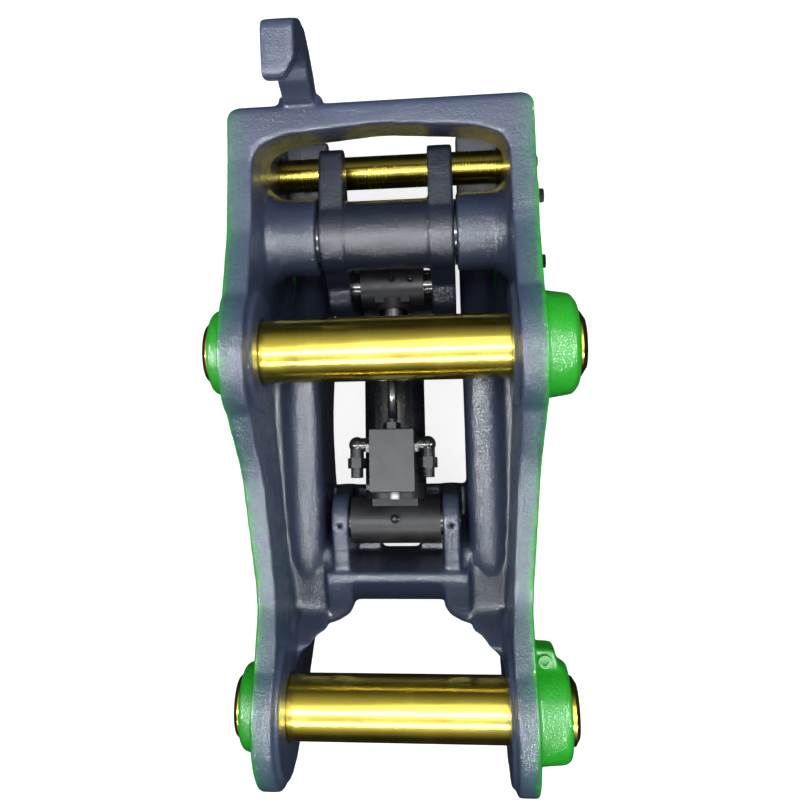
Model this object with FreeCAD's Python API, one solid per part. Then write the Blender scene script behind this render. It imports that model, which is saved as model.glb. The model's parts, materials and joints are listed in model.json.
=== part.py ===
import FreeCAD, Part
import math
import os
from FreeCAD import Vector as V

os.makedirs("parts", exist_ok=True)

# ---------------------------------------------------------------------------
# Excavator quick coupler, 20 to 24 t class.  Millimetres.
# Frame: +X along the pins, +Y from the stick pin to the link pin and on to the
# rear crossbar, +Z towards the machine.  Origin: stick pin axis, mid-width.
# ---------------------------------------------------------------------------

# main pins
PIN_R = 40.0            # stick and link pin radius
PIN_CENTRES = 450.0     # stick pin to link pin
BORE_R = PIN_R          # pins are driven into their bosses

# side castings
IN_REAR, OUT_REAR = 158.0, 190.0      # inner and outer wall, link pin end
IN_FRONT, OUT_FRONT = 141.0, 168.0    # inner and outer wall, stick pin end
PAD_LINK, PAD_STICK = 151.5, 135.0    # machined pad faces round the pins
BOSS_STICK_R, BOSS_LINK_R = 96.0, 92.0
LOW_IN, LOW_OUT = 95.0, 150.0         # hook plates of the frame
SHELF = 46.0                          # depth of the shelf between both walls
REAR_Y = 757.0                        # rear face of the crossbar
HOOK_X0, HOOK_X1 = -117.0, -79.0      # lifting hook sides

# attachment jaws
JAW_R = 40.5
JAW_FRONT = (60.0, -290.0)
JAW_REAR = (540.0, -290.0)
JAW_WALL = 41.5                       # jaw wall under the pin

# moving hook
PIVOT = (595.0, -110.0)
PIVOT_R = 30.0
HUB_R = 47.0
HOOK_IN, HOOK_OUT = 56.0, 89.0        # hook plates
DRUM_IN, DRUM_R = 92.0, 53.0

# cylinder
BASE = (213.0, -90.0)
ROD = (526.0, -178.0)
CYL_PIN_R = 20.0
CYL_R, CYL_BORE_R = 41.0, 31.5
STROD_R = 20.0
RUN = 0.05                            # radial running clearance
OPEN_PIN_GAP = 2.2                    # rod pin to hook plate, radial

# stop pin
STOP = (690.0, -200.0)
STOP_R = 24.0

ALPHA = math.degrees(math.atan2(ROD[1] - BASE[1], ROD[0] - BASE[0]))
CYL_L = math.hypot(ROD[1] - BASE[1], ROD[0] - BASE[0])


# ------------------------------------------------------------------ helpers
def wire2d(pts):
    """Closed outline from (u, v) or (u, v, corner radius)."""
    n = len(pts)
    P = [V(p[0], p[1], 0) for p in pts]
    R = [p[2] if len(p) > 2 else 0.0 for p in pts]
    cuts = []
    for i in range(n):
        a, b, c = P[i - 1], P[i], P[(i + 1) % n]
        if R[i] <= 0:
            cuts.append((b, None, b))
            continue
        d1, d2 = (a - b), (c - b)
        l1, l2 = d1.Length, d2.Length
        d1.normalize()
        d2.normalize()
        ang = math.acos(max(-1.0, min(1.0, d1.dot(d2))))
        t = R[i] / math.tan(ang / 2.0)
        lim = 0.495 * min(l1, l2)
        r = R[i]
        if t > lim:
            r *= lim / t
            t = lim
        bis = d1 + d2
        bis.normalize()
        cen = b + bis * (r / math.sin(ang / 2.0))
        mid = cen - bis * r
        cuts.append((b + d1 * t, mid, b + d2 * t))
    edges = []
    for i in range(n):
        s, m, e = cuts[i]
        if m is not None:
            edges.append(Part.Arc(s, m, e).toShape())
        nxt = cuts[(i + 1) % n][0]
        if (nxt - e).Length > 1e-6:
            edges.append(Part.LineSegment(e, nxt).toShape())
    return Part.Wire(Part.__sortEdges__(edges))


def yz(pts, x0, x1):
    """Outline in Y, Z extruded along X."""
    f = Part.Face(wire2d(pts))
    m = FreeCAD.Matrix(0, 0, 1, 0, 1, 0, 0, 0, 0, 1, 0, 0, 0, 0, 0, 1)
    f = f.transformGeometry(m) if False else f.transformed(m)
    f.translate(V(x0, 0, 0))
    return f.extrude(V(x1 - x0, 0, 0))


def xy(pts, z0, z1):
    """Outline in X, Y extruded along Z."""
    f = Part.Face(wire2d(pts))
    f.translate(V(0, 0, z0))
    return f.extrude(V(0, 0, z1 - z0))


def cx(y, z, r, x0, x1):
    return Part.makeCylinder(r, x1 - x0, V(x0, y, z), V(1, 0, 0))


def conex(y, z, r0, r1, x0, x1):
    return Part.makeCone(r0, r1, x1 - x0, V(x0, y, z), V(1, 0, 0))


def cyl(r, h, base, axis):
    return Part.makeCylinder(r, h, V(*base), V(*axis))


def box(x0, x1, y0, y1, z0, z1):
    return Part.makeBox(x1 - x0, y1 - y0, z1 - z0, V(x0, y0, z0))


def fuse(*s):
    out = s[0].multiFuse(list(s[1:])) if len(s) > 1 else s[0]
    return out.removeSplitter()


def cut(a, *b):
    for x in b:
        a = a.cut(x)
    return a


def mirror(s):
    return s.mirror(V(0, 0, 0), V(1, 0, 0))


def turned(y, z, prof):
    """Solid of revolution about X at (y, z) from (x, r) pairs."""
    pts = [V(x, r, 0) for x, r in prof]
    w = Part.makePolygon(pts + [pts[0]])
    s = Part.Face(w).revolve(V(0, 0, 0), V(1, 0, 0), 360)
    s.translate(V(0, y, z))
    return s


def hexprism(af, h, base, axis):
    """Hexagonal prism, across flats af."""
    r = af / math.sqrt(3.0)
    ax = V(*axis)
    pts = [V(r * math.cos(math.radians(60 * i)), r * math.sin(math.radians(60 * i)), 0) for i in range(7)]
    s = Part.Face(Part.makePolygon(pts)).extrude(V(0, 0, h))
    s.Placement = FreeCAD.Placement(V(*base), FreeCAD.Rotation(V(0, 0, 1), ax))
    return s


def hexbolt(r, length, base, axis, af=None, head=None):
    """Bolt: shank from base along axis, head behind base, chamfered."""
    ax = V(*axis)
    ax.normalize()
    af = af or 3.0 * r
    head = head or 1.25 * r
    b = V(*base)
    h = hexprism(af, head, tuple(b - ax * head), tuple(ax))
    c = Part.makeCone(af * 0.47, af * 0.60, head * 0.35, b - ax * head, ax)
    c2 = Part.makeCylinder(af * 0.60, head * 0.66, b - ax * (head * 0.65), ax)
    h = h.common(fuse(c, c2))
    return fuse(h, Part.makeCylinder(r, length, b, ax))


def hexnut(r, af, h, base, axis):
    n = hexprism(af, h, base, axis)
    return n.cut(Part.makeCylinder(r, h + 2, V(*base) - V(*axis) * 1.0, V(*axis)))


def tube_along(pts, bend, r):
    """Round bar along straight runs joined by arcs of radius bend."""
    edges = []
    at = pts[0]
    for i in range(1, len(pts) - 1):
        a, b, c = pts[i - 1], pts[i], pts[i + 1]
        d1, d2 = a - b, c - b
        l1, l2 = d1.Length, d2.Length
        d1.normalize()
        d2.normalize()
        ang = math.acos(max(-1.0, min(1.0, d1.dot(d2))))
        if math.pi - ang < 1e-3:
            continue
        t = min(bend / math.tan(ang / 2.0), 0.48 * min(l1, l2))
        rr = t * math.tan(ang / 2.0)
        bis = d1 + d2
        bis.normalize()
        mid = b + bis * (rr / math.sin(ang / 2.0) - rr)
        edges.append(Part.LineSegment(at, b + d1 * t).toShape())
        edges.append(Part.Arc(b + d1 * t, mid, b + d2 * t).toShape())
        at = b + d2 * t
    edges.append(Part.LineSegment(at, pts[-1]).toShape())
    d = pts[1] - pts[0]
    prof = Part.Wire([Part.makeCircle(r, pts[0], d)])
    return Part.Wire(edges).makePipeShell([prof], True, True)


def cyl_place(s):
    """From the cylinder's own frame (base pin at 0, rod along +Y) to the row frame."""
    s = s.copy()
    s.Placement = FreeCAD.Placement(V(0, BASE[0], BASE[1]), FreeCAD.Rotation(V(1, 0, 0), ALPHA)).multiply(s.Placement)
    return s


made = []


def put(name, *solids):
    sh = solids[0] if len(solids) == 1 else Part.makeCompound(list(solids))
    n = len(sh.Solids)
    ok = sh.isValid()
    if len(solids) == 1 and n == 1:
        sh = sh.Solids[0]
    sh.exportStep("parts/%s.step" % name)
    made.append((name, n, ok, sh.Volume))
    print("%-26s solids %2d valid %s vol %10.0f" % (name, n, ok, sh.Volume))


# ------------------------------------------------------------ side castings
# top of the shelf, seen from the side
LEDGE = [(92.0, -74.0), (150.0, -60.0), (410.0, -60.0), (478.0, -92.0), (520.0, -165.0), (560.0, -214.0), (628.0, -230.0), (745.0, -232.0)]

# half-round column along the shelf's inner edge: centre line, bend and radius
COL_X, COL_R, COL_BEND = 122.0, 27.0, 70.0
COLUMN = [(118.0, -150.0), (150.0, -92.0), (215.0, -87.0), (400.0, -87.0), (452.0, -118.0), (484.0, -168.0), (528.0, -219.0), (566.0, -221.0)]

PLAN_UP = [(IN_FRONT, -110), (IN_FRONT, 95, 160), (IN_REAR, 350, 160), (IN_REAR, REAR_Y),
           (OUT_REAR, REAR_Y, 24), (OUT_REAR, 385, 160), (OUT_FRONT, 130, 160), (OUT_FRONT, -110)]

TOP = [(-20, 40), (-20, 80), (40, 82), (150, 22, 90), (300, 22, 90), (385, 62), (500, 66), (600, 20, 80), (690, 2, 60),
       (REAR_Y, -6, 10)]


def upper_outline():
    low = [(y, z - SHELF) for y, z in LEDGE]
    pts = list(TOP)
    pts += [(REAR_Y, -60, 10), (748, -150, 60), (738, -232 - SHELF + 18, 18)]
    pts += [(628, low[6][1] + 30, 20), (560, low[5][1] + 26, 40), (515, low[4][1], 30), (470, low[3][1], 40), (405, low[2][1], 40),
            (150, low[1][1], 40), (60, -112, 20), (-20, -80)]
    return pts


LOWER = [(92, -88, 18), (150, -74, 60), (405, -74, 90), (468, -104, 50), (510, -176, 60), (553, -226, 40), (628, -243, 30), (745, -245, 3),
         (742, -262, 8), (640, -266, 10), (622, -249.5, 4), (490, -249.5, 6), (474, -272, 14), (440, -262, 60), (330, -196, 110), (240, -206, 90),
         (158, -262, 50), (146, -335, 45), (102, -372, 34), (62, -372, 18), (34, -354, 8), (34, -330.5, 5),
         (JAW_FRONT[0], -330.5), (JAW_FRONT[0], -249.5), (34, -249.5, 6), (20, -232, 12), (2, -190, 30), (-36, -120, 60), (-60, -60, 0), (-20, -40, 0), (60, -40, 0)]


def side(sign):
    """Right-hand casting (sign +1) or left-hand one (sign -1), built at +X and mirrored."""
    up = fuse(yz(upper_outline(), 120, 200),
              cx(0, 0, BOSS_STICK_R, 120, 200), cx(PIN_CENTRES, 0, BOSS_LINK_R, 120, 200))
    up = up.common(xy(PLAN_UP, -300, 120))
    # hook plate and shelf
    low = fuse(yz(LOWER, LOW_IN, LOW_OUT))
    sh_pts = [(92, -88, 18), (150, -74, 60), (405, -74, 90), (468, -104, 50), (510, -176, 60), (553, -226, 40), (628, -243, 30), (745, -245, 2),
              (742, -262, 2), (628, -262, 20), (540, -246, 40), (500, -212, 40), (462, -140, 50), (405, -60 - SHELF, 60), (150, -60 - SHELF, 40), (92, -112, 10)]
    shelf = yz(sh_pts, LOW_IN, 172)
    low = fuse(low, shelf)
    # the inner edge of the shelf is a half-round column
    path = []
    for i, (y, z) in enumerate(COLUMN):
        path.append(V(COL_X, y, z))
    col = tube_along(path, COL_BEND, COL_R)
    corner = yz([(p.y, p.z) for p in path[1:-1]] + [(p.y, p.z + 60) for p in reversed(path[1:-1])], LOW_IN - 5, LOW_IN + 12)
    low = low.cut(corner)
    low = fuse(low, col)
    low = low.cut(cx(JAW_FRONT[0], JAW_FRONT[1], JAW_R, LOW_IN - 10, 200))
    # the front of the hook plate steps outwards behind the stick pin pads
    scallop = xy([(LOW_IN - 5, -120), (134, -120), (134, 44, 26), (108, 68, 18), (LOW_IN - 5, 76)], -400, -30)
    low = low.cut(scallop)
    # lower plate goes on up inside the stick boss
    neck = yz([(-66, -60), (-80, -20), (-40, 10), (60, 10), (92, -60), (92, -112), (20, -140), (-40, -120)], 134, 166)
    neck = neck.common(fuse(cx(0, 0, BOSS_STICK_R, 100, 190), box(100, 190, -10, 100, -150, -40)))
    s = fuse(up, low, neck)
    # machined pads inside
    s = fuse(s, cx(PIN_CENTRES, 0, 75, PAD_LINK, IN_REAR + 4), cx(0, 0, 86, PAD_STICK, IN_FRONT + 4))
    # pivot drum with a foot
    drum = fuse(cx(PIVOT[0], PIVOT[1], DRUM_R, DRUM_IN, IN_REAR + 6),
                conex(PIVOT[0], PIVOT[1], DRUM_R, DRUM_R + 13, 141, IN_REAR + 0.5))
    s = fuse(s, drum)
    if sign > 0:
        link = turned(PIN_CENTRES, 0, [(184, 0), (184, 66), (198, 65), (223, 61), (231, 50), (231, 0)])
        stick = turned(0, 0, [(160, 0), (160, 63), (175, 62), (202, 60), (209, 54), (209, 0)])
        lug = xy([(162, 20), (162, 82, 5), (192, 82, 8), (197, 62, 6), (203, 20)], -17, 17)
        s = fuse(s, link, stick, lug)
    else:
        link = turned(PIN_CENTRES, 0, [(184, 0), (184, 56), (209, 53), (215, 48), (215, 0)])
        stick = turned(0, 0, [(160, 0), (160, 55), (188, 53), (194, 48), (194, 0)])
        s = fuse(s, link, stick)
    # bores
    s = cut(s, cx(0, 0, BORE_R, 100, 260), cx(PIN_CENTRES, 0, BORE_R, 100, 260))
    if sign > 0:
        s = cut(s, cx(PIVOT[0], PIVOT[1], PIVOT_R, 80, 260), cx(STOP[0], STOP[1], STOP_R, 80, 260))
        s = cut(s, cyl(8.5, 60, (190, 0, -38), (0, 0, -1)), cyl(8.5, 60, (212, PIN_CENTRES, -38), (0, 0, -1)))
        s = cut(s, cyl(5.0, 14, (180, 69, 18), (0, 0, -1)))
        for dy in (-30, 30):
            s = cut(s, cx(PIVOT[0] + dy * 1.45, PIVOT[1], 6.0, 168, 260))
        for k in range(3):
            a = math.radians(90 + 120 * k)
            s = cut(s, cx(STOP[0] + 37 * math.cos(a), STOP[1] + 37 * math.sin(a), 5.0, 170, 260))
    else:
        s = cut(s, cx(PIVOT[0], PIVOT[1], PIVOT_R, 80, 182), cx(STOP[0], STOP[1], STOP_R, 80, 182))
        s = mirror(s)
    return s


right = side(1)
left = side(-1)
put("right_side_casting", right)
put("left_side_casting", left)

# ------------------------------------------------------------ rear crossbar
bar = xy([(-IN_REAR, 688), (-150, 706, 22), (-118, 718, 60), (0, 727, 300), (118, 718, 60), (150, 706, 22), (IN_REAR, 688),
          (IN_REAR, REAR_Y), (-IN_REAR, REAR_Y)], -112, 10)
bar = bar.common(yz([(680, 3.5), (690, 2), (REAR_Y, -6, 10), (REAR_Y, -108, 14), (680, -108)], -170, 170))
put("rear_crossbar", bar)

# ------------------------------------------------------------- lifting hook
hook = yz([(REAR_Y, -36), (REAR_Y, 2), (764, 10, 8), (776, 30, 18), (796, 44, 22), (800, 78, 14), (784, 97, 12), (760, 101, 6), (760, 125, 7),
           (824, 125, 12), (838, 76, 24), (836, 42, 16), (820, 14, 30), (800, -12, 30), (780, -34, 30)], HOOK_X0, HOOK_X1)
# the nose is cut away at its free lower corner
nose = xy([(HOOK_X0 - 1, 757, 4), (-94, 757, 8), (HOOK_X1 + 1, 786, 14), (HOOK_X1 + 1, 850), (HOOK_X0 - 1, 850)], 60, 140)
hook = fuse(hook.common(nose), hook.common(box(-200, 0, 700, 900, -60, 60)))
try:
    es = [e for e in hook.Edges if abs(e.BoundBox.XMax - e.BoundBox.XMin) < 0.01 and e.BoundBox.YMin > REAR_Y + 0.5]
    hook = hook.makeFillet(3.0, es)
except Exception as err:
    print("hook fillet skipped", err)
foot = yz([(REAR_Y, -40), (REAR_Y, -12), (REAR_Y + 12, -16), (REAR_Y + 12, -38)], HOOK_X0 - 8, HOOK_X1 + 8)
hook = fuse(hook, foot)
put("lifting_hook", hook)

# ------------------------------------------------------------ centre saddle
wall = yz([(151, -58, 8), (139, -58, 10), (98, -104, 16), (98, -222, 14), (112, -240, 8), (132, -236, 8), (140, -190, 20), (151, -150)], -LOW_IN, LOW_IN)
floor = yz([(136, -152), (244, -152, 6), (244, -172, 8), (136, -176)], -LOW_IN, LOW_IN)
gusset = []
for sgn in (1, -1):
    g = xy([(60 * sgn, 99), (67 * sgn, 86, 9), (84 * sgn, 76, 10), (LOW_IN * sgn, 73), (LOW_IN * sgn, 140), (60 * sgn, 140)], -140, -30)
    g = g.common(yz([(60, -84), (94, -80), (139, -58), (139, -140), (60, -140)], -LOW_IN, LOW_IN))
    gusset.append(g)
ears = []
for sgn in (1, -1):
    x0, x1 = (62, 84) if sgn > 0 else (-84, -62)
    e = fuse(cx(BASE[0], BASE[1], 36, x0, x1), yz([(145, -66, 6), (213, -54), (249, -90), (244, -172), (145, -172)], x0, x1))
    ears.append(e)
    # rib from the ear to the hook plate
    x2, x3 = (84, LOW_IN) if sgn > 0 else (-LOW_IN, -84)
    ears.append(yz([(145, -72), (176, -78, 10), (200, -150), (200, -172), (145, -172)], x2, x3))
saddle = fuse(wall, floor, *(gusset + ears))
slot = xy([(-27, 152.5, 5), (27, 152.5, 5), (27, 168, 5), (-27, 168, 5)], -200, -140)
saddle = cut(saddle, slot, cx(BASE[0], BASE[1], CYL_PIN_R, -90, 90))
for sgn in (1, -1):
    saddle = cut(saddle, cyl(4.0, 40, (73 * sgn, BASE[0], BASE[1] + 14), (0, 0, 1)))
put("centre_saddle", saddle)

# ---------------------------------------------------------------- main pins
CH = 5.0
link_pin = turned(PIN_CENTRES, 0, [(-222, 0), (-222, PIN_R - CH), (-222 + CH, PIN_R), (234, PIN_R), (240, PIN_R - 9), (240, 0)])
link_pin = cut(link_pin, cyl(8.5, 60, (212, PIN_CENTRES, 6), (0, 0, -1)))
for k in range(2):
    link_pin = cut(link_pin, cx(PIN_CENTRES + (-14 + 28 * k), 0, 5.0, 222, 250))
stick_pin = turned(0, 0, [(-201, 0), (-201, PIN_R - CH), (-201 + CH, PIN_R), (214, PIN_R), (219, PIN_R - 8), (219, 0)])
stick_pin = cut(stick_pin, cyl(8.5, 60, (190, 0, 6), (0, 0, -1)))
for k in range(2):
    stick_pin = cut(stick_pin, cx(0, -14 + 28 * k, 5.0, 201, 230))
put("link_pin", link_pin)
put("stick_pin", stick_pin)

# lock bolts, up into each pin from below, and the screw in the stick boss lug
put("pin_lock_bolts", hexbolt(8.0, 66, (212, PIN_CENTRES, -66.5), (0, 0, 1), 24, 10), hexbolt(8.0, 66, (190, 0, -66.5), (0, 0, 1), 24, 10))
lug_screw = cut(fuse(cyl(5.0, 12, (180, 69, 5.5), (0, 0, 1)), cyl(8.0, 5, (180, 69, 17), (0, 0, 1))), hexprism(8, 3.5, (180, 69, 18.6), (0, 0, 1)))
put("boss_lug_screw", lug_screw)

# ---------------------------------------------------------------- hook pivot
pivot_pin = turned(PIVOT[0], PIVOT[1], [(-182, 0), (-182, PIVOT_R - 3), (-179, PIVOT_R), (187, PIVOT_R), (190, PIVOT_R - 3), (190, 0)])
pivot_pin = cut(pivot_pin, cx(PIVOT[0], PIVOT[1], 4.0, -40, 200), cyl(3.0, 40, (0, PIVOT[0], PIVOT[1]), (0, 0, 1)))
put("hook_pivot_pin", pivot_pin)
keeper = xz = yz([(PIVOT[0] - 62, PIVOT[1] - 24, 12), (PIVOT[0] + 62, PIVOT[1] - 24, 12), (PIVOT[0] + 62, PIVOT[1] + 24, 12), (PIVOT[0] - 62, PIVOT[1] + 24, 12)], 190, 200)
keeper = cut(keeper, cx(PIVOT[0] - 43.5, PIVOT[1], 6.5, 180, 210), cx(PIVOT[0] + 43.5, PIVOT[1], 6.5, 180, 210), cx(PIVOT[0], PIVOT[1], 9.0, 180, 210))
put("pivot_keeper_plate", keeper)
put("pivot_keeper_bolts", *[hexbolt(6.0, 30, (200, PIVOT[0] + d, PIVOT[1]), (-1, 0, 0), 18, 8) for d in (-43.5, 43.5)])
put("thrust_washers", *[cut(cx(PIVOT[0], PIVOT[1], 44, a, b), cx(PIVOT[0], PIVOT[1], PIVOT_R, a - 1, b + 1)) for a, b in ((-91.9, -89.2), (89.2, 91.9))])
nip = [(0, 0), (4.0, 0), (4.0, 6), (6.0, 6), (6.0, 10), (3.2, 12), (3.2, 15), (2.2, 18), (0, 18)]


def nipple(base, axis, k=1.0):
    pts = [V(r * k, 0, h * k) for r, h in nip]
    s = Part.Face(Part.makePolygon(pts + [pts[0]])).revolve(V(0, 0, 0), V(0, 0, 1), 360)
    s.Placement = FreeCAD.Placement(V(*base), FreeCAD.Rotation(V(0, 0, 1), V(*axis)))
    return s


put("pivot_grease_nipple", nipple((184, PIVOT[0], PIVOT[1]), (1, 0, 0)))

# ------------------------------------------------------------------ stop pin
stop = turned(STOP[0], STOP[1], [(-181, 0), (-181, STOP_R - 3), (-178, STOP_R), (190, STOP_R), (190, 48), (192, 50), (198, 50), (200, 48), (200, 0)])
for k in range(3):
    a = math.radians(90 + 120 * k)
    stop = cut(stop, cx(STOP[0] + 37 * math.cos(a), STOP[1] + 37 * math.sin(a), 5.5, 180, 210))
put("stop_pin", stop)
put("stop_pin_bolts", *[hexbolt(5.0, 26, (200, STOP[0] + 37 * math.cos(math.radians(90 + 120 * k)), STOP[1] + 37 * math.sin(math.radians(90 + 120 * k))), (-1, 0, 0), 15, 6.5) for k in range(3)])

# --------------------------------------------------------------- moving hook
py, pz = PIVOT
jy, jz = JAW_REAR
RO = JAW_R + JAW_WALL


def hook_plate(x0, x1):
    arm = yz([(py - 30, pz + 34), (py + 20, pz + 40, 30), (py + 86, pz + 22, 30), (712, pz + 12, 14), (712, pz - 18, 12), (664, pz - 27, 40), (py + 36, pz - 36, 10), (py - 20, pz - 30)], x0, x1)
    # leg down to the jaw, in front of the attachment pin
    leg = yz([(py + 46, pz - 8, 0), (py + 40, pz - 50, 40), (596, -232, 14), (JAW_REAR[0] - 12, -247), (JAW_REAR[0] - 20, -290),
              (460, -300, 30), (461, -250, 50), (492, -180, 60), (py - 50, pz + 4)], x0, x1)
    back = fuse(cx(jy, jz, RO, x0, x1).common(box(x0 - 1, x1 + 1, jy - RO - 1, jy + 1, jz - RO - 1, jz + 40)),
                yz([(jy - 1, jz - JAW_R - 0.0), (jy + 30, jz - JAW_R, 0), (jy + 42, jz - JAW_R - 6, 8), (jy + 40, jz - RO + 12, 10), (jy + 20, jz - RO, 12), (jy - 1, jz - RO)], x0, x1))
    eye = cx(ROD[0], ROD[1], 42, x0, x1)
    s = fuse(cx(py, pz, HUB_R + 3, x0, x1), arm, leg, back, eye)
    return s


hook_solid = fuse(hook_plate(HOOK_IN, HOOK_OUT), hook_plate(-HOOK_OUT, -HOOK_IN), cx(py, pz, HUB_R, -HOOK_IN - 1, HOOK_IN + 1))
# cross web behind the jaws, below the rod eye
hook_web = yz([(463, -282, 10), (466, -318, 20), (498, -352, 10), (512, -340, 8), (497, -318, 12), (488, -284, 8)], -HOOK_IN - 1, HOOK_IN + 1)
hook_solid = fuse(hook_solid, hook_web)
hook_solid = cut(hook_solid, cx(jy, jz, JAW_R, -100, 100), cx(py, pz, 36.0, -100, 100), cx(ROD[0], ROD[1], CYL_PIN_R + OPEN_PIN_GAP, -100, 100))
put("moving_hook", hook_solid)
bush = []
for a, b in ((-HOOK_OUT, -30), (30, HOOK_OUT)):
    bush.append(cut(cx(py, pz, 36.0, a, b), cx(py, pz, PIVOT_R + RUN, a - 1, b + 1)))
put("hook_bushes", *bush)

# ------------------------------------------------------- cylinder, own frame
L = CYL_L
BAR0, BAR1 = 46.0, 196.0          # barrel
GL1 = 222.0                       # gland face
EYE_HALF = 59.0

eye = fuse(cx(0, 0, 31, -EYE_HALF, EYE_HALF), cyl(CYL_R, 20, (0, 26, 0), (0, 1, 0)), box(-30, 30, 0, 30, -26, 26))
eye = fuse(eye, cyl(CYL_BORE_R, 12, (0, 40, 0), (0, 1, 0)))
eye = cut(eye, cx(0, 0, 25.0, -80, 80), cyl(4.0, 12, (0, 0, 24), (0, 0, 1)))
put("cylinder_base_eye", cyl_place(eye))
put("base_eye_bushes", *[cyl_place(cut(cx(0, 0, 25.0, a, b), cx(0, 0, CYL_PIN_R + RUN, a - 1, b + 1))) for a, b in ((-EYE_HALF, -12), (12, EYE_HALF))])
put("base_eye_grease_nipple", cyl_place(nipple((0, 0, 25.5), (0, 0, 1))))
barrel = cut(cyl(CYL_R, BAR1 - BAR0, (0, BAR0, 0), (0, 1, 0)), cyl(CYL_BORE_R, 300, (0, 0, 0), (0, 1, 0)))
# port pads under the valve block
pad = box(-24, 24, 46, 112, 30, 45)
barrel = fuse(barrel, pad)
barrel = cut(barrel, cyl(CYL_BORE_R, 300, (0, 0, 0), (0, 1, 0)), cyl(3.5, 30, (0, 56, 25), (0, 0, 1)), cyl(3.5, 30, (0, 96, 25), (0, 0, 1)))
for bx in (-18, 18):
    for by in (51, 106.2):
        barrel = cut(barrel, cyl(2.6, 8.5, (bx, by, 36.6), (0, 0, 1)))
put("cylinder_barrel", cyl_place(barrel))

VX, VY0, VY1, VZ0, VZ1 = 29.0, 33.0, 113.0, 45.0, 79.0
valve = box(-VX, VX, VY0, VY1, VZ0, VZ1)
try:
    valve = valve.makeFillet(1.6, [e for e in valve.Edges if abs(e.BoundBox.ZMin - VZ1) < 0.01 or e.BoundBox.ZLength > 20])
except Exception as err:
    print("valve fillet skipped", err)
valve = cut(valve, cyl(3.5, 22, (0, 56, VZ0 - 1), (0, 0, 1)), cyl(3.5, 22, (0, 96, VZ0 - 1), (0, 0, 1)))
for sx in (1, -1):
    valve = cut(valve, cyl(7.0, 12, (sx * VX, 94, 62), (-sx, 0, 0)), cyl(3.5, 30, (sx * VX, 94, 62), (-sx, 0, 0)))
valve = cut(valve, cyl(9.0, 26, (0, VY1, 62), (0, -1, 0)), cyl(5.0, 3.5, (-VX, 43, 62), (1, 0, 0)))
for bx in (-18, 18):
    for by in (51, 106.2):
        valve = cut(valve, cyl(3.0, 40, (bx, by, VZ0 - 1), (0, 0, 1)), cyl(5.4, 27, (bx, by, VZ0 + 8), (0, 0, 1)))
put("valve_block", cyl_place(valve))
vb = []
for bx in (-18, 18):
    for by in (51, 106.2):
        b = fuse(cyl(2.6, 15.4, (bx, by, VZ0 - 6.9), (0, 0, 1)), cyl(5.0, 5.5, (bx, by, VZ0 + 8), (0, 0, 1)))
        b = cut(b, hexprism(4.2, 3.0, (bx, by, VZ0 + 11), (0, 0, 1)))
        vb.append(cyl_place(b))
put("valve_block_screws", *vb)
plugs = []
for bx in (-18, 18):
    for by in (51, 106.2):
        plugs.append(cyl_place(cyl(5.4, 3.0, (bx, by, VZ1 - 3.0), (0, 0, 1))))
put("screw_hole_plugs", *plugs)
cart = fuse(cyl(9.0, 26, (0, VY1 - 26, 62), (0, 1, 0)), hexprism(20, 9, (0, VY1, 62), (0, 1, 0)), cyl(6.0, 5, (0, VY1 + 9, 62), (0, 1, 0)))
put("check_valve_cartridge", cyl_place(cart))
put("valve_side_plug", cyl_place(fuse(cyl(5.0, 3.5, (-VX, 43, 62), (1, 0, 0)), hexprism(13, 5, (-VX, 43, 62), (-1, 0, 0)))))


def elbow(sx):
    """Port elbow: threaded stub into the block, hex, forged corner, swivel end facing -Y."""
    r = 9.0
    xc = sx * (VX + 17)
    stub = cyl(7.0, 10, (sx * VX, 94, 62), (-sx, 0, 0))
    hx = hexprism(20, 5, (sx * VX, 94, 62), (sx, 0, 0))
    run = cyl(r, 17, (sx * VX, 94, 62), (sx, 0, 0))
    ball = Part.makeSphere(10.5, V(xc, 94, 62))
    leg = cyl(r, 18, (xc, 94, 62), (0, -1, 0))
    nut = hexprism(21, 13, (xc, 77, 62), (0, -1, 0))
    tip = cyl(8.0, 12, (xc, 64, 62), (0, -1, 0))
    s = fuse(stub, hx, run, ball, leg, nut, tip)
    return s.cut(cyl(4.5, 30, (xc, 51, 62), (0, 1, 0)))


put("elbow_fitting_right", cyl_place(elbow(1)))
put("elbow_fitting_left", cyl_place(elbow(-1)))

gland = fuse(cyl(CYL_BORE_R, 16, (0, BAR1 - 16, 0), (0, 1, 0)), cyl(CYL_R, GL1 - BAR1, (0, BAR1, 0), (0, 1, 0)))
gland = cut(gland, cyl(STROD_R + RUN, 60, (0, BAR1 - 20, 0), (0, 1, 0)), cyl(25.0, 8.0, (0, GL1 - 8, 0), (0, 1, 0)))
for k in range(4):
    a = math.radians(45 + 90 * k)
    gland = cut(gland, cyl(3.5, 14, (0 + (CYL_R + 4) * math.cos(a), GL1 - 13, (CYL_R + 4) * math.sin(a)), (-math.cos(a), 0, -math.sin(a))))
put("gland_nut", cyl_place(gland))
put("rod_wiper", cyl_place(cut(fuse(cyl(25.0, 7.0, (0, GL1 - 8, 0), (0, 1, 0)), Part.makeCone(23.5, 21.6, 4.0, V(0, GL1 - 1, 0), V(0, 1, 0))),
                               cyl(STROD_R + RUN, 30, (0, GL1 - 10, 0), (0, 1, 0)))))

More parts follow.
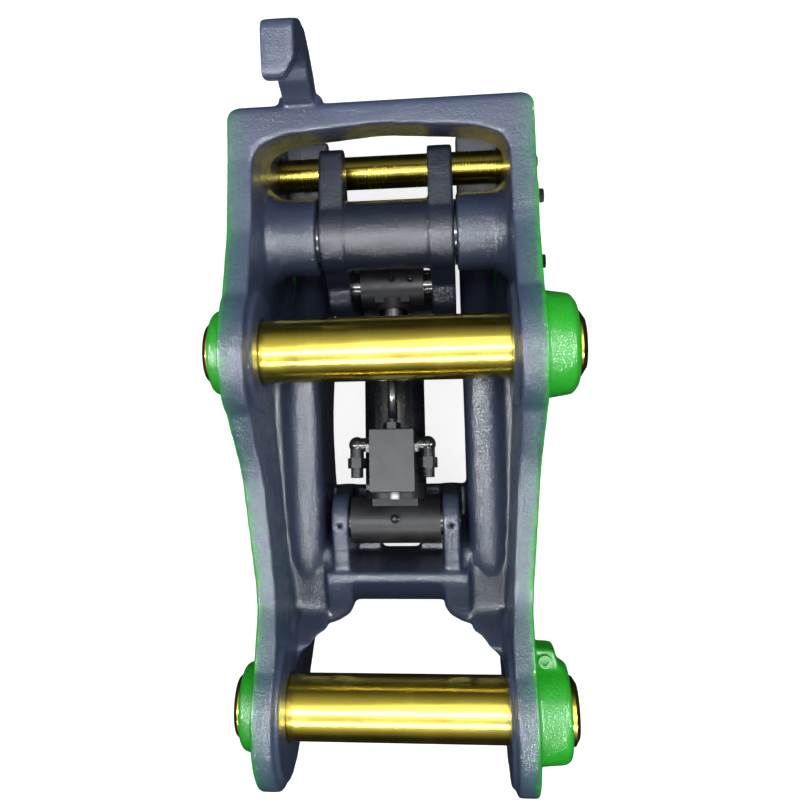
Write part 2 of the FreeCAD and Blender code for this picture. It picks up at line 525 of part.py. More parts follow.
# rod side: retracts by the stroke
P1 = BAR1 - 22.0                   # piston front face at full extension
P0 = P1 - 26.0
rod = fuse(cyl(STROD_R, L - 26 - P1, (0, P1, 0), (0, 1, 0)), cyl(14.0, P1 - P0 + 14, (0, P0 - 14, 0), (0, 1, 0)))
put("piston_rod", cyl_place(rod))
piston = cut(cyl(CYL_BORE_R - RUN, P1 - P0, (0, P0, 0), (0, 1, 0)), cyl(14.0, 60, (0, P0 - 5, 0), (0, 1, 0)))
piston = cut(piston, cut(cyl(40, 8, (0, P0 + 9, 0), (0, 1, 0)), cyl(27.5, 10, (0, P0 + 8, 0), (0, 1, 0))))
put("piston", cyl_place(piston))
put("piston_seal", cyl_place(cut(cyl(CYL_BORE_R - RUN, 8, (0, P0 + 9, 0), (0, 1, 0)), cyl(27.5, 10, (0, P0 + 8, 0), (0, 1, 0)))))
put("piston_nut", cyl_place(cut(hexprism(40, 13, (0, P0, 0), (0, -1, 0)), cyl(14.0, 20, (0, P0 + 1, 0), (0, -1, 0)))))
reye = fuse(cx(0, 0, 30, -44, 44), cyl(25.0, 14, (0, -38, 0), (0, 1, 0)), box(-24, 24, -30, 0, -22, 22))
reye.translate(V(0, L, 0))
reye = cut(reye, cyl(STROD_R, 14, (0, L - 40, 0), (0, 1, 0)), cx(L, 0, 24.0, -60, 60), cyl(4.0, 20, (0, L, 22), (0, 0, 1)), cyl(5.0, 20, (26, L, 12), (0, 0, 1)))
put("rod_eye", cyl_place(reye))
reb = cut(cx(L, 0, 24.0, -44, 44), cx(L, 0, CYL_PIN_R, -60, 60), cyl(5.0, 30, (26, L, 12), (0, 0, 1)))
put("rod_eye_bush", cyl_place(reb))
put("rod_eye_grease_nipple", cyl_place(nipple((0, L, 25.8), (0, 0, 1), 0.75)))
rpin = turned(0, 0, [(-88, 0), (-88, CYL_PIN_R - 2), (-86, CYL_PIN_R), (86, CYL_PIN_R), (88, CYL_PIN_R - 2), (88, 0)])
rpin.translate(V(0, L, 0))
rpin = cut(rpin, cyl(5.0, 30, (26, L, 12), (0, 0, 1)))
put("rod_pin", cyl_place(rpin))
put("rod_pin_set_screw", cyl_place(cut(cyl(5.0, 15.5, (26, L, 12), (0, 0, 1)), hexprism(5, 4, (26, L, 24), (0, 0, 1)))))

# base pin of the cylinder
bpin = turned(BASE[0], BASE[1], [(-86, 0), (-86, CYL_PIN_R - 2), (-84, CYL_PIN_R), (84, CYL_PIN_R), (86, CYL_PIN_R - 2), (86, 0)])
for sgn in (1, -1):
    bpin = cut(bpin, cyl(4.0, 40, (73 * sgn, BASE[0], BASE[1] + 6), (0, 0, 1)))
put("cylinder_base_pin", bpin)
put("base_pin_spring_pins", *[cut(cyl(4.0, 27, (73 * s, BASE[0], BASE[1] + 6), (0, 0, 1)), cyl(2.2, 40, (73 * s, BASE[0], BASE[1] + 4), (0, 0, 1))) for s in (1, -1)])

print("nodes", len(made), "alpha", round(ALPHA, 3), "length", round(CYL_L, 3))
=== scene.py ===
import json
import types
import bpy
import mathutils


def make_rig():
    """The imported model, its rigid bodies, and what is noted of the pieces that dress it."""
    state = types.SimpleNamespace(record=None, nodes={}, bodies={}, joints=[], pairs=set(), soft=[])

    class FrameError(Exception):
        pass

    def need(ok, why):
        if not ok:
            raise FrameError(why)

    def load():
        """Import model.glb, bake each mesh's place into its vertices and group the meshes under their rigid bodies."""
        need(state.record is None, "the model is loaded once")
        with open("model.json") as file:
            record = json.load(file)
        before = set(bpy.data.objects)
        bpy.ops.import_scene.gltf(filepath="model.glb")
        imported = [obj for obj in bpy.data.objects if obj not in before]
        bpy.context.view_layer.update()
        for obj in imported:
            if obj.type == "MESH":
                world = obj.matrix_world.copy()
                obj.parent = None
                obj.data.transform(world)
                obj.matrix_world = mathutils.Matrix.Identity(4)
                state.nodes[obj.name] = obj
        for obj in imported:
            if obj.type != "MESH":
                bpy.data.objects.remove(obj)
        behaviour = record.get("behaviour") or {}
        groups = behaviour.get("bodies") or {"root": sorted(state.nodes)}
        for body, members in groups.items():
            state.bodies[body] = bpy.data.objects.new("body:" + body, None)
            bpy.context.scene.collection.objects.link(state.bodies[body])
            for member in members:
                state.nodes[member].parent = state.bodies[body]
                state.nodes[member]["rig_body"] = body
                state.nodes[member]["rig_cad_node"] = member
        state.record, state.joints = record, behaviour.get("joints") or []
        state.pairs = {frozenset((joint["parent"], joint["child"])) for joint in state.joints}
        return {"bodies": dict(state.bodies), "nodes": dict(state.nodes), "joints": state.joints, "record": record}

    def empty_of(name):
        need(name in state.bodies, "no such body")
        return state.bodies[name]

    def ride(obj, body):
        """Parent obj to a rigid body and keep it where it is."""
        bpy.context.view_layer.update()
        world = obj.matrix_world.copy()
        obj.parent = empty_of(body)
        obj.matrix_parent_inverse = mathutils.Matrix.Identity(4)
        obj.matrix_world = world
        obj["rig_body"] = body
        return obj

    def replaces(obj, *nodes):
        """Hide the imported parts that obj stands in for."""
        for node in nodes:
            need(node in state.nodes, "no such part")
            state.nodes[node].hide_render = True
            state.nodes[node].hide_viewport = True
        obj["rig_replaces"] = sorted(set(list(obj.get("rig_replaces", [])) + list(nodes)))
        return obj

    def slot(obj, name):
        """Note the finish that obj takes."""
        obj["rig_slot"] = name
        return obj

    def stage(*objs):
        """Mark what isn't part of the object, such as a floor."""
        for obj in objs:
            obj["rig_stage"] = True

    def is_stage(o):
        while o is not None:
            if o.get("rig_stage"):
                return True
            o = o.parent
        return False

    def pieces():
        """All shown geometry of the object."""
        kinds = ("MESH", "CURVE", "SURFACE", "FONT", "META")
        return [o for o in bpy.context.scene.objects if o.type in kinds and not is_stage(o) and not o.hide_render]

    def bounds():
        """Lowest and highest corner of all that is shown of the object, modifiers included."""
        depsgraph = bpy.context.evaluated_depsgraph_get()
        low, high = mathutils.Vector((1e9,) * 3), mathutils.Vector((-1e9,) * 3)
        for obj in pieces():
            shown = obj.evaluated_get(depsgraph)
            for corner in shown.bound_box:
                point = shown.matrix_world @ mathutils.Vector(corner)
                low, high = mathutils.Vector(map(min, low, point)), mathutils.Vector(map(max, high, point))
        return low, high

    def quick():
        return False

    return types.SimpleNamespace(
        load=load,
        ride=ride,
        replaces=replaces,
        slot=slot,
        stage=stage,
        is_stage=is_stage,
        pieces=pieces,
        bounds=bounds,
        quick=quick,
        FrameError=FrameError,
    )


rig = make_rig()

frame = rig.load()
import bpy, bmesh, math, json, random
from mathutils import Vector, Matrix

cad_lo, cad_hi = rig.bounds()
scene = bpy.context.scene
nodes = frame["nodes"]
FLOOR_Z = cad_lo[2]

# ------------------------------------------------------------------ node kit


class Mat:
    """Small builder for procedural materials."""

    def __init__(self, name):
        self.m = bpy.data.materials.new(name)
        self.m.use_nodes = True
        self.nt = self.m.node_tree
        self.nt.nodes.clear()
        self.out = self.nt.nodes.new("ShaderNodeOutputMaterial")
        self.b = self.nt.nodes.new("ShaderNodeBsdfPrincipled")
        self.link(self.b.outputs["BSDF"], self.out.inputs["Surface"])
        self.tc = self.nt.nodes.new("ShaderNodeTexCoord")
        self.geo = self.nt.nodes.new("ShaderNodeNewGeometry")

    def link(self, a, b):
        self.nt.links.new(a, b)

    def put(self, sock, v):
        if isinstance(v, bpy.types.NodeSocket):
            self.link(v, sock)
        else:
            sock.default_value = v

    def coords(self, scale=(1, 1, 1), rot=(0, 0, 0)):
        n = self.nt.nodes.new("ShaderNodeMapping")
        n.inputs["Scale"].default_value = scale
        n.inputs["Rotation"].default_value = rot
        self.link(self.tc.outputs["Object"], n.inputs["Vector"])
        return n.outputs["Vector"]

    def noise(self, scale, detail=3.0, rough=0.5, vec=None, dist=0.0):
        n = self.nt.nodes.new("ShaderNodeTexNoise")
        n.inputs["Scale"].default_value = scale
        n.inputs["Detail"].default_value = detail
        n.inputs["Roughness"].default_value = rough
        n.inputs["Distortion"].default_value = dist
        self.link(vec if vec is not None else self.tc.outputs["Object"], n.inputs["Vector"])
        return n.outputs["Fac"]

    def voronoi(self, scale, vec=None, feature="F1"):
        n = self.nt.nodes.new("ShaderNodeTexVoronoi")
        n.feature = feature
        n.inputs["Scale"].default_value = scale
        self.link(vec if vec is not None else self.tc.outputs["Object"], n.inputs["Vector"])
        return n.outputs["Distance"]

    def math(self, op, a, b=0.0, c=0.0, clamp=False):
        n = self.nt.nodes.new("ShaderNodeMath")
        n.operation = op
        n.use_clamp = clamp
        self.put(n.inputs[0], a)
        self.put(n.inputs[1], b)
        self.put(n.inputs[2], c)
        return n.outputs[0]

    def remap(self, v, a, b, lo=0.0, hi=1.0, smooth=True):
        n = self.nt.nodes.new("ShaderNodeMapRange")
        n.interpolation_type = "SMOOTHSTEP" if smooth else "LINEAR"
        self.put(n.inputs["Value"], v)
        n.inputs["From Min"].default_value = a
        n.inputs["From Max"].default_value = b
        n.inputs["To Min"].default_value = lo
        n.inputs["To Max"].default_value = hi
        return n.outputs["Result"]

    def mix(self, f, a, b, blend="MIX"):
        n = self.nt.nodes.new("ShaderNodeMix")
        n.data_type = "RGBA"
        n.blend_type = blend
        n.clamp_factor = True
        self.put(n.inputs[0], f)
        for sock, v in ((n.inputs[6], a), (n.inputs[7], b)):
            if isinstance(v, (tuple, list)):
                v = (*v[:3], 1.0)
            self.put(sock, v)
        return n.outputs[2]

    def sep(self, v):
        n = self.nt.nodes.new("ShaderNodeSeparateXYZ")
        self.link(v, n.inputs[0])
        return n.outputs[0], n.outputs[1], n.outputs[2]

    def bump(self, h, dist=0.001, strength=1.0, after=None):
        n = self.nt.nodes.new("ShaderNodeBump")
        n.inputs["Distance"].default_value = dist
        n.inputs["Strength"].default_value = strength
        self.link(h, n.inputs["Height"])
        if after is not None:
            self.link(after, n.inputs["Normal"])
        return n.outputs["Normal"]

    def set(self, **kw):
        names = dict(color="Base Color", rough="Roughness", metal="Metallic", normal="Normal", coat="Coat Weight",
                     coat_rough="Coat Roughness", coat_normal="Coat Normal", spec="Specular IOR Level", aniso="Anisotropic")
        for k, v in kw.items():
            s = self.b.inputs[names[k]]
            if isinstance(v, (tuple, list)) and len(v) == 3:
                v = (*v, 1.0)
            self.put(s, v)
        return self


def casting_paint(name, body, body2, green_amount=1.0, rough=0.34):
    m = Mat(name)
    px, py, pz = m.sep(m.tc.outputs["Object"])
    nx, ny, nz = m.sep(m.tc.outputs["Normal"])
    n_lo = m.noise(7.0, 4.0, 0.55)
    n_mid = m.noise(55.0, 4.0, 0.6)
    n_hi = m.noise(420.0, 3.0, 0.6)
    base = m.mix(m.remap(n_lo, 0.35, 0.68), body, body2)
    # thin dusty lightening and darker pooled paint
    base = m.mix(m.remap(n_mid, 0.56, 0.76, 0.0, 0.22), base, tuple(min(1.0, c * 1.45 + 0.01) for c in body))
    base = m.mix(m.remap(n_mid, 0.44, 0.24, 0.0, 0.35), base, tuple(c * 0.62 for c in body))
    # fine flecks: bright spray dust
    fleck = m.math("MULTIPLY", m.remap(m.noise(900.0, 1.0, 0.5), 0.70, 0.76), m.remap(n_lo, 0.45, 0.6, 0.0, 0.35))
    base = m.mix(fleck, base, (0.42, 0.47, 0.52))
    # painted shade: the paint colour darkens deeper down inside the casting, where shade falls
    shade = m.remap(pz, -0.012, -0.125, 0.0, 0.84 if green_amount > 0 else 0.40)
    base = m.mix(shade, base, tuple(c * 0.22 for c in body))
    color = base
    if green_amount > 0:
        ax = m.math("ABSOLUTE", px)
        # outward facing component
        out = m.math("MULTIPLY", m.math("SIGN", px), nx)
        wall = m.remap(py, 0.13, 0.385, 0.168, 0.190)
        d = m.math("SUBTRACT", ax, wall)
        jit = m.math("MULTIPLY", m.math("SUBTRACT", m.noise(38.0, 4.0, 0.65), 0.5), 0.016)
        d = m.math("ADD", d, jit)
        side = m.remap(out, 0.30, 0.62)
        outer = m.remap(m.math("ADD", d, 0.016), 0.000, 0.008)
        low = m.math("MULTIPLY", m.remap(ax, 0.142, 0.148), m.remap(pz, -0.118, -0.134))
        green_side = m.math("MULTIPLY", side, m.math("MAXIMUM", outer, low))
        beyond = m.math("MULTIPLY", m.remap(d, -0.009, 0.002), m.remap(py, 0.70, 0.56, 0.30, 1.0))
        beyond = m.math("MAXIMUM", beyond, m.remap(d, 0.003, 0.009))
        full = m.math("MAXIMUM", green_side, beyond)
        mist = m.math("MULTIPLY", m.remap(d, -0.034, -0.001), 0.46)
        mist = m.math("MULTIPLY", mist, m.remap(pz, -0.12, -0.02))
        mist = m.math("MULTIPLY", mist, m.remap(m.noise(160.0, 3.0, 0.7), 0.30, 0.62, 0.35, 1.0))
        g = m.mix(m.remap(n_lo, 0.35, 0.65), (0.020, 0.420, 0.022), (0.035, 0.560, 0.035))
        g = m.mix(m.remap(n_mid, 0.42, 0.22, 0.0, 0.30), g, (0.010, 0.26, 0.012))
        color = m.mix(mist, color, (0.055, 0.30, 0.14))
        color = m.mix(m.math("MULTIPLY", full, green_amount), color, g)
    r = m.remap(n_mid, 0.25, 0.75, rough - 0.08, rough + 0.12, smooth=False)
    r = m.math("ADD", r, m.remap(n_hi, 0.3, 0.7, -0.03, 0.05))
    # cast skin under the paint and orange peel on top
    h = m.math("ADD", m.math("MULTIPLY", m.noise(34.0, 3.0, 0.5), 0.8), m.math("MULTIPLY", m.noise(190.0, 4.0, 0.6), 0.42))
    h = m.math("ADD", h, m.math("MULTIPLY", n_hi, 0.16))
    nrm = m.bump(h, 0.0022, 0.70)
    peel = m.bump(m.noise(620.0, 2.0, 0.5), 0.0009, 0.75, after=nrm)
    m.set(color=color, rough=r, normal=peel, coat=0.85, coat_rough=0.08, coat_normal=peel, spec=0.10)
    return m.m


def yellow_zinc(name, scratches=0.5, tone=1.0, dull=0.0):
    m = Mat(name)
    px, py, pz = m.sep(m.tc.outputs["Object"])
    long = m.noise(5.0, 3.0, 0.5, vec=m.coords((0.7, 6, 6)))
    cloud = m.noise(22.0, 4.0, 0.6)
    c = m.mix(m.remap(long, 0.30, 0.70), tuple(v * tone for v in (0.74, 0.580, 0.075)), tuple(v * tone for v in (0.60, 0.490, 0.090)))
    c = m.mix(m.remap(cloud, 0.55, 0.80, 0.0, 0.45), c, tuple(v * tone for v in (0.62, 0.60, 0.12)))
    c = m.mix(m.remap(cloud, 0.42, 0.20, 0.0, 0.40), c, tuple(v * tone for v in (0.72, 0.40, 0.07)))
    rings = m.noise(1.0, 2.0, 0.6, vec=m.coords((900, 1.5, 1.5)))
    marks = m.noise(1.0, 3.0, 0.7, vec=m.coords((70, 9, 9), rot=(0, 0, 0.2)), dist=1.2)
    scr = m.remap(marks, 0.76, 0.80, 0.0, scratches)
    spot = m.remap(m.noise(60.0, 5.0, 0.7, dist=0.6), 0.70, 0.78, 0.0, scratches * 0.8)
    scr = m.math("MAXIMUM", scr, spot)
    c = m.mix(scr, c, (0.10, 0.085, 0.03))
    r = m.remap(cloud, 0.2, 0.8, 0.13 + dull, 0.25 + dull, smooth=False)
    r = m.math("ADD", r, m.math("MULTIPLY", scr, 0.3))
    r = m.math("ADD", r, m.remap(rings, 0.3, 0.7, -0.02, 0.04))
    h = m.math("ADD", m.math("MULTIPLY", rings, 0.35), m.math("MULTIPLY", scr, -0.8))
    n = m.bump(h, 0.0002, 0.35)
    m.set(color=c, metal=1.0, rough=r, normal=n)
    return m.m


def black_gloss(name, col=(0.012, 0.013, 0.016), rough=0.26, coat=0.6):
    m = Mat(name)
    n1 = m.noise(26.0, 4.0, 0.6)
    n2 = m.noise(300.0, 3.0, 0.6)
    c = m.mix(m.remap(n1, 0.35, 0.7), col, tuple(v * 2.1 + 0.002 for v in col))
    dust = m.math("MULTIPLY", m.remap(n2, 0.60, 0.85), m.remap(n1, 0.50, 0.75, 0.0, 0.10))
    c = m.mix(dust, c, (0.14, 0.145, 0.15))
    r = m.remap(n1, 0.3, 0.7, rough - 0.06, rough + 0.14, smooth=False)
    h = m.math("ADD", m.math("MULTIPLY", m.noise(120.0, 3.0, 0.5), 0.6), m.math("MULTIPLY", n2, 0.25))
    n = m.bump(h, 0.0006, 0.4)
    m.set(color=c, rough=r, normal=n, coat=coat, coat_rough=0.10, coat_normal=n, spec=0.25)
    return m.m


def matt_block(name):
    m = Mat(name)
    n1 = m.noise(30.0, 4.0, 0.6)
    n2 = m.noise(1500.0, 2.0, 0.6)
    mill = m.noise(1.0, 3.0, 0.6, vec=m.coords((14, 700, 14)))
    c = m.mix(m.remap(n1, 0.3, 0.7), (0.030, 0.031, 0.035), (0.046, 0.047, 0.052))
    c = m.mix(m.remap(n2, 0.58, 0.75, 0.0, 0.5), c, (0.10, 0.10, 0.105))
    r = m.remap(n1, 0.3, 0.7, 0.46, 0.58, smooth=False)
    h = m.math("ADD", m.math("MULTIPLY", n2, 0.5), m.math("MULTIPLY", mill, 0.5))
    n = m.bump(h, 0.00025, 0.4)
    m.set(color=c, metal=0.35, rough=r, normal=n)
    return m.m


def plated(name, a, b, rough=0.34, metal=1.0, ring=(0, 0, 0), scale=300.0):
    m = Mat(name)
    n1 = m.noise(45.0, 4.0, 0.6)
    n2 = m.noise(scale, 3.0, 0.6)
    c = m.mix(m.remap(n1, 0.35, 0.68), a, b)
    c = m.mix(m.remap(n1, 0.40, 0.22, 0.0, 0.5), c, tuple(v * 0.5 for v in a))
    r = m.remap(n1, 0.25, 0.75, rough - 0.08, rough + 0.12, smooth=False)
    r = m.math("ADD", r, m.remap(n2, 0.3, 0.7, -0.03, 0.05))
    n = m.bump(n2, 0.0003, 0.35)
    m.set(color=c, metal=metal, rough=r, normal=n)
    return m.m


def rubber(name, a=(0.014, 0.014, 0.015), b=(0.032, 0.032, 0.034)):
    m = Mat(name)
    n1 = m.noise(90.0, 3.0, 0.5)
    c = m.mix(m.remap(n1, 0.3, 0.7), a, b)
    n = m.bump(m.noise(900.0, 2.0, 0.5), 0.0003, 0.4)
    m.set(color=c, rough=m.remap(n1, 0.3, 0.7, 0.50, 0.66, smooth=False), normal=n)
    return m.m


M = {
    "casting": casting_paint("casting_paint", (0.076, 0.102, 0.184), (0.060, 0.083, 0.158)),
    "hook": casting_paint("hook_paint", (0.028, 0.037, 0.066), (0.021, 0.028, 0.052), green_amount=0.0, rough=0.36),
    "gold": yellow_zinc("yellow_zinc_pin", 0.30, 0.80),
    "gold_worn": yellow_zinc("yellow_zinc_worn", 0.85, 0.80),
    # stop pin zinc darkened as painted shade, for the pin sitting in shade under the crossbar
    "gold_painted_shade": yellow_zinc("yellow_zinc_painted_shade", 0.12, 0.34, 0.05),
    "black": black_gloss("cylinder_black", (0.007, 0.008, 0.011), 0.24, 0.55),
    "satin": black_gloss("eye_black_satin", (0.010, 0.010, 0.012), 0.42, 0.0),
    "fitting": black_gloss("fitting_black", (0.010, 0.011, 0.013), 0.26, 0.5),
    "block": matt_block("valve_block_matt"),
    "steel": plated("machined_steel", (0.46, 0.46, 0.47), (0.56, 0.56, 0.57), 0.30),
    "zinc": plated("zinc_fastener", (0.42, 0.43, 0.42), (0.58, 0.58, 0.56), 0.36),
    "bronze": plated("bush_bronze", (0.55, 0.34, 0.12), (0.64, 0.42, 0.17), 0.32),
    "chrome": plated("rod_chrome", (0.66, 0.67, 0.69), (0.74, 0.75, 0.77), 0.12, scale=900.0),
    "rubber": rubber("seal_rubber"),
    # piston rod chrome darkened as painted shade, standing in for the rod's reflection of the dark interior
    "rod_painted_shade": plated("rod_chrome_painted_shade", (0.10, 0.10, 0.11), (0.14, 0.14, 0.15), 0.16, scale=900.0),
    "white": rubber("cap_white", (0.80, 0.80, 0.78), (0.92, 0.92, 0.90)),
}


def give(obj, mat):
    obj.data.materials.clear()
    obj.data.materials.append(mat)


LOOK = dict(
    link_pin="gold", stick_pin="gold_worn", stop_pin="gold_painted_shade",
    pin_lock_bolts="zinc", boss_lug_screw="casting", hook_pivot_pin="steel", pivot_keeper_plate="casting", pivot_keeper_bolts="fitting",
    # thrust_washers take the black cylinder paint as painted shade for the dark gap between drum and hook
    thrust_washers="black", pivot_grease_nipple="zinc", stop_pin_bolts="fitting", cylinder_base_pin="black", base_pin_spring_pins="black",
    hook_bushes="bronze", cylinder_base_eye="satin", base_eye_bushes="bronze", base_eye_grease_nipple="fitting", cylinder_barrel="black",
    valve_block="block", valve_block_screws="zinc", screw_hole_plugs="block", check_valve_cartridge="fitting", valve_side_plug="fitting",
    elbow_fitting_right="fitting", elbow_fitting_left="fitting", gland_nut="black", rod_wiper="rubber", piston_rod="rod_painted_shade", piston="steel",
    piston_seal="rubber", piston_nut="zinc", rod_eye="satin", rod_eye_bush="bronze", rod_eye_grease_nipple="fitting", rod_pin="black",
    rod_pin_set_screw="fitting", right_side_casting="casting", left_side_casting="casting", centre_saddle="casting", rear_crossbar="casting",
    lifting_hook="casting", moving_hook="hook")
for n, k in LOOK.items():
    give(nodes[n], M[k])


# --------------------------------------------------- castings, merged and smoothed
def shade_by_angle(obj, deg=40.0):
    for p in obj.data.polygons:
        p.use_smooth = True
    bpy.context.view_layer.objects.active = obj
    obj.select_set(True)
    try:
        bpy.ops.object.shade_auto_smooth(angle=math.radians(deg))
    except Exception:
        pass
    obj.select_set(False)


def cast_piece(name, members, body, slot, mat, voxel, rounds, factor=0.5):
    """One skin round the given CAD nodes, with the rounded edges of a casting."""
    bm = bmesh.new()
    for n in members:
        bm.from_mesh(nodes[n].data)
    bmesh.ops.remove_doubles(bm, verts=bm.verts, dist=1e-6)
    me = bpy.data.meshes.new(name)
    bm.to_mesh(me)
    bm.free()
    me.materials.clear()
    obj = bpy.data.objects.new(name, me)
    scene.collection.objects.link(obj)
    r = obj.modifiers.new("remesh", "REMESH")
    r.mode = "VOXEL"
    r.voxel_size = voxel
    r.use_smooth_shade = True
    s = obj.modifiers.new("smooth", "SMOOTH")
    s.factor = factor
    s.iterations = rounds
    dg = bpy.context.evaluated_depsgraph_get()
    done = bpy.data.meshes.new_from_object(obj.evaluated_get(dg))
    obj.modifiers.clear()
    obj.data = done
    done.name = name
    # drop anything loose inside
    bm = bmesh.new()
    bm.from_mesh(done)
    seen, islands = set(), []
    bm.verts.ensure_lookup_table()
    for v in bm.verts:
        if v.index in seen:
            continue
        stack, isl = [v], []
        seen.add(v.index)
        while stack:
            w = stack.pop()
            isl.append(w)
            for e in w.link_edges:
                o = e.other_vert(w)
                if o.index not in seen:
                    seen.add(o.index)
                    stack.append(o)
        islands.append(isl)
    islands.sort(key=len, reverse=True)
    print(name, "verts", len(bm.verts), "islands", [len(i) for i in islands][:6])
    for isl in islands[1:]:
        bmesh.ops.delete(bm, geom=isl, context="VERTS")
    bm.to_mesh(done)
    bm.free()
    for p in done.polygons:
        p.use_smooth = True
    give(obj, mat)
    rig.ride(obj, body)
    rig.replaces(obj, *members)
    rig.slot(obj, slot)
    return obj


VOX = 0.0045 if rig.quick() else 0.0026
cast_piece("body_casting", ["right_side_casting", "left_side_casting", "centre_saddle", "rear_crossbar", "lifting_hook"], "frame",
           "casting_paint", M["casting"], VOX, 6 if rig.quick() else 14)
cast_piece("hook_casting", ["moving_hook"], "hook", "hook_paint", M["hook"], 0.8 * VOX, 5 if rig.quick() else 10)


# ------------------------------------------------------- small parts of the cylinder
ALPHA = math.atan2(-0.178 + 0.090, 0.526 - 0.213)


def cyl_world(p):
    x, y, z = p
    return Vector((x, 0.213 + y * math.cos(ALPHA) - z * math.sin(ALPHA), -0.090 + y * math.sin(ALPHA) + z * math.cos(ALPHA)))


def pipe(name, pts, radius, mat, seg=24):
    """Round pipe through local cylinder points, with capped ends."""
    P = [cyl_world(p) for p in pts]
    bm = bmesh.new()
    rings = []
    for i, c in enumerate(P):
        d = (P[min(i + 1, len(P) - 1)] - P[max(i - 1, 0)]).normalized()
        x = Vector((1, 0, 0))
        y = d.cross(x).normalized()
        rr = radius[i] if isinstance(radius, (list, tuple)) else radius
        rings.append([bm.verts.new(c + (x * math.cos(2 * math.pi * k / seg) + y * math.sin(2 * math.pi * k / seg)) * rr) for k in range(seg)])
    for a_, b_ in zip(rings, rings[1:]):
        for k in range(seg):
            bm.faces.new((a_[k], a_[(k + 1) % seg], b_[(k + 1) % seg], b_[k]))
    bm.faces.new(list(reversed(rings[0])))
    bm.faces.new(rings[-1])
    bmesh.ops.recalc_face_normals(bm, faces=bm.faces)
    me = bpy.data.meshes.new(name)
    bm.to_mesh(me)
    bm.free()
    o = bpy.data.objects.new(name, me)
    scene.collection.objects.link(o)
    give(o, mat)
    for p_ in me.polygons:
        p_.use_smooth = len(p_.vertices) == 4
    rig.ride(o, "cylinder")
    return o


tube = pipe("transfer_tube", [(0, 0.110, 0.0455), (0, 0.180, 0.0455), (0, 0.190, 0.0445), (0, 0.197, 0.040), (0, 0.200, 0.034)], 0.0065, M["black"])
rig.slot(tube, "cylinder_black")
boss = pipe("transfer_tube_weld", [(0, 0.186, 0.0455), (0, 0.189, 0.0455), (0, 0.196, 0.0435), (0, 0.202, 0.040), (0, 0.205, 0.036)],
            [0.0072, 0.0086, 0.0092, 0.0086, 0.0060], M["black"])
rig.slot(boss, "cylinder_black")
cap = pipe("drain_cap", [(0.002, 0.0245, 0.060), (0.002, 0.0330, 0.060)], 0.0062, M["white"], seg=6)
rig.slot(cap, "zinc_fasteners")

for n, o in nodes.items():
    shade_by_angle(o, 35.0)

# ------------------------------------------------------------------- stage
fl = bpy.data.meshes.new("floor")
fl.from_pydata([(-8, -8, FLOOR_Z), (8, -8, FLOOR_Z), (8, 8, FLOOR_Z), (-8, 8, FLOOR_Z)], [], [(0, 1, 2, 3)])
floor = bpy.data.objects.new("floor", fl)
scene.collection.objects.link(floor)
fm = Mat("floor_pale")
fn = fm.noise(3.0, 2.0, 0.5)
fm.set(color=fm.mix(fn, (0.70, 0.70, 0.70), (0.74, 0.74, 0.74)), rough=0.9, spec=0.0)
fm.b.inputs["Emission Color"].default_value = (1, 1, 1, 1)
fm.b.inputs["Emission Strength"].default_value = 0.66
give(floor, fm.m)
floor.visible_diffuse = False
floor.visible_glossy = False
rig.stage(floor)
# pale wall far round the stage
R_WALL, N_WALL = 7.6, 48
wv, wf = [], []
for i in range(N_WALL):
    a_ = 2 * math.pi * i / N_WALL
    wv += [(R_WALL * math.cos(a_), R_WALL * math.sin(a_), FLOOR_Z - 0.01), (R_WALL * math.cos(a_), R_WALL * math.sin(a_), 9.0)]
    j = (i + 1) % N_WALL
    wf.append((2 * i, 2 * j, 2 * j + 1, 2 * i + 1))
wm = bpy.data.meshes.new("backdrop")
wm.from_pydata(wv, [], wf)
backdrop = bpy.data.objects.new("backdrop", wm)
scene.collection.objects.link(backdrop)
bm_ = Mat("backdrop_pale")
bn = bm_.noise(0.8, 2.0, 0.5)
bm_.set(color=bm_.mix(bn, (0.70, 0.70, 0.70), (0.74, 0.74, 0.74)), rough=0.9, spec=0.0)
bm_.b.inputs["Emission Color"].default_value = (1, 1, 1, 1)
bm_.b.inputs["Emission Strength"].default_value = 0.80
give(backdrop, bm_.m)
for o_ in (backdrop,):
    o_.visible_diffuse = False
    o_.visible_glossy = False
    o_.visible_shadow = False
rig.stage(backdrop)

world = bpy.data.worlds.new("studio")
scene.world = world
world.use_nodes = True
wn = world.node_tree
wn.nodes.clear()
wo = wn.nodes.new("ShaderNodeOutputWorld")
bg = wn.nodes.new("ShaderNodeBackground")
wt = wn.nodes.new("ShaderNodeTexCoord")
ws = wn.nodes.new("ShaderNodeSeparateXYZ")
wr = wn.nodes.new("ShaderNodeValToRGB")
wn.links.new(wt.outputs["Generated"], ws.inputs[0])
wn.links.new(ws.outputs[2], wr.inputs[0])
el = wr.color_ramp.elements
el[0].position, el[0].color = 0.0, (0.012, 0.013, 0.016, 1)
el[1].position, el[1].color = 1.0, (0.95, 0.97, 1.0, 1)
for pos, v in ((0.22, 0.05), (0.50, 0.26), (0.75, 0.62)):
    e = el.new(pos)
    e.color = (v * 0.96, v * 0.98, v, 1)
bg.inputs["Strength"].default_value = 1.15
wn.links.new(wr.outputs[0], bg.inputs["Color"])
wn.links.new(bg.outputs[0], wo.inputs[0])


def area(name, loc, target, size, size_y, radiance, color=(1, 1, 1), glossy=True, diffuse=True, spin=0.0):
    l = bpy.data.lights.new(name, "AREA")
    l.shape = "RECTANGLE"
    l.size = size
    l.size_y = size_y
    l.energy = radiance * math.pi * size * size_y
    l.color = color
    o = bpy.data.objects.new(name, l)
    o.location = loc
    d = Vector(target) - Vector(loc)
    q = d.to_track_quat("-Z", "Y")
    o.rotation_euler = (q.to_matrix() @ Matrix.Rotation(spin, 3, "Z")).to_euler()
    o.visible_glossy = glossy
    o.visible_diffuse = diffuse
    scene.collection.objects.link(o)
    return o


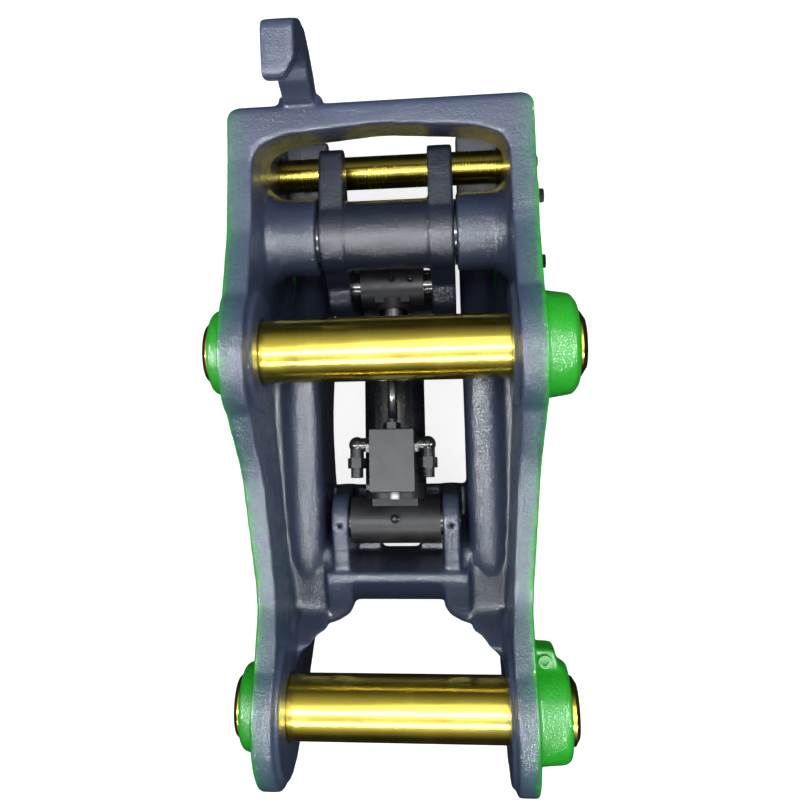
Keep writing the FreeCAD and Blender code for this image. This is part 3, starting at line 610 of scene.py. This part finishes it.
area("softbox", (0.35, 1.00, 3.2), (0.1, 0.45, -0.1), 2.3, 2.5, 2.3, (1.0, 0.99, 0.97), spin=math.radians(-14))
area("strip_y", (-0.30, 0.30, 3.0), (0.0, 0.35, -0.1), 0.14, 1.5, 130, (0.93, 0.97, 1.0), diffuse=False)
area("strip_x", (0.2, -1.35, 2.3), (0.0, 0.35, -0.1), 1.9, 0.10, 120, (0.95, 0.98, 1.0), diffuse=False)
area("side_left", (-2.2, 0.3, 1.9), (0, 0.35, -0.1), 0.14, 1.8, 190, (0.95, 0.98, 1.0), diffuse=False)
area("side_right", (2.3, 0.3, 1.7), (0, 0.35, -0.1), 0.14, 1.8, 190, (0.95, 0.98, 1.0), diffuse=False)
area("fill_left", (-2.4, 0.3, 1.3), (0, 0.35, -0.1), 1.2, 1.6, 1.4, (0.97, 0.98, 1.0), glossy=False)
area("fill_right", (2.4, 0.3, 1.3), (0, 0.35, -0.1), 1.2, 1.6, 2.2, (1.0, 1.0, 0.98), glossy=False)
scene.cycles.caustics_reflective = False
scene.cycles.caustics_refractive = False

# ------------------------------------------------------------------ camera
F_PX, CXP, CYP = 889.3, 357.6, 308.2
yaw, pitch, roll = math.radians(6.14), math.radians(-1.81), math.radians(2.07)
r = Vector((math.cos(yaw), 0, -math.sin(yaw)))
d = Vector((-math.sin(yaw), 0, -math.cos(yaw)))
u = Vector((0, 1, 0))
d2 = d * math.cos(pitch) + u * math.sin(pitch)
u2 = u * math.cos(pitch) - d * math.sin(pitch)
r3 = r * math.cos(roll) - u2 * math.sin(roll)
u3 = r * math.sin(roll) + u2 * math.cos(roll)
cam = bpy.data.cameras.new("camera")
camera = bpy.data.objects.new("camera", cam)
scene.collection.objects.link(camera)
rot = Matrix((r3, u3, -d2)).transposed()
camera.matrix_world = Matrix.Translation(Vector((0.0845, 0.5353, 1.091))) @ rot.to_4x4()
cam.sensor_fit = "HORIZONTAL"
cam.sensor_width = 36.0
cam.lens = F_PX / 800.0 * 36.0
cam.shift_x = (400.0 - CXP) / 800.0
cam.shift_y = (CYP - 400.0) / 800.0
cam.clip_start = 0.01
scene.camera = camera
scene.view_settings.view_transform = "Standard"
scene.view_settings.look = "None"
scene.view_settings.exposure = 0.0

new_lo, new_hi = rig.bounds()
json.dump({"cad": [list(map(float, cad_lo)), list(map(float, cad_hi))],
           "visual": [list(map(float, new_lo)), list(map(float, new_hi))]}, open("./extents.json", "w"))
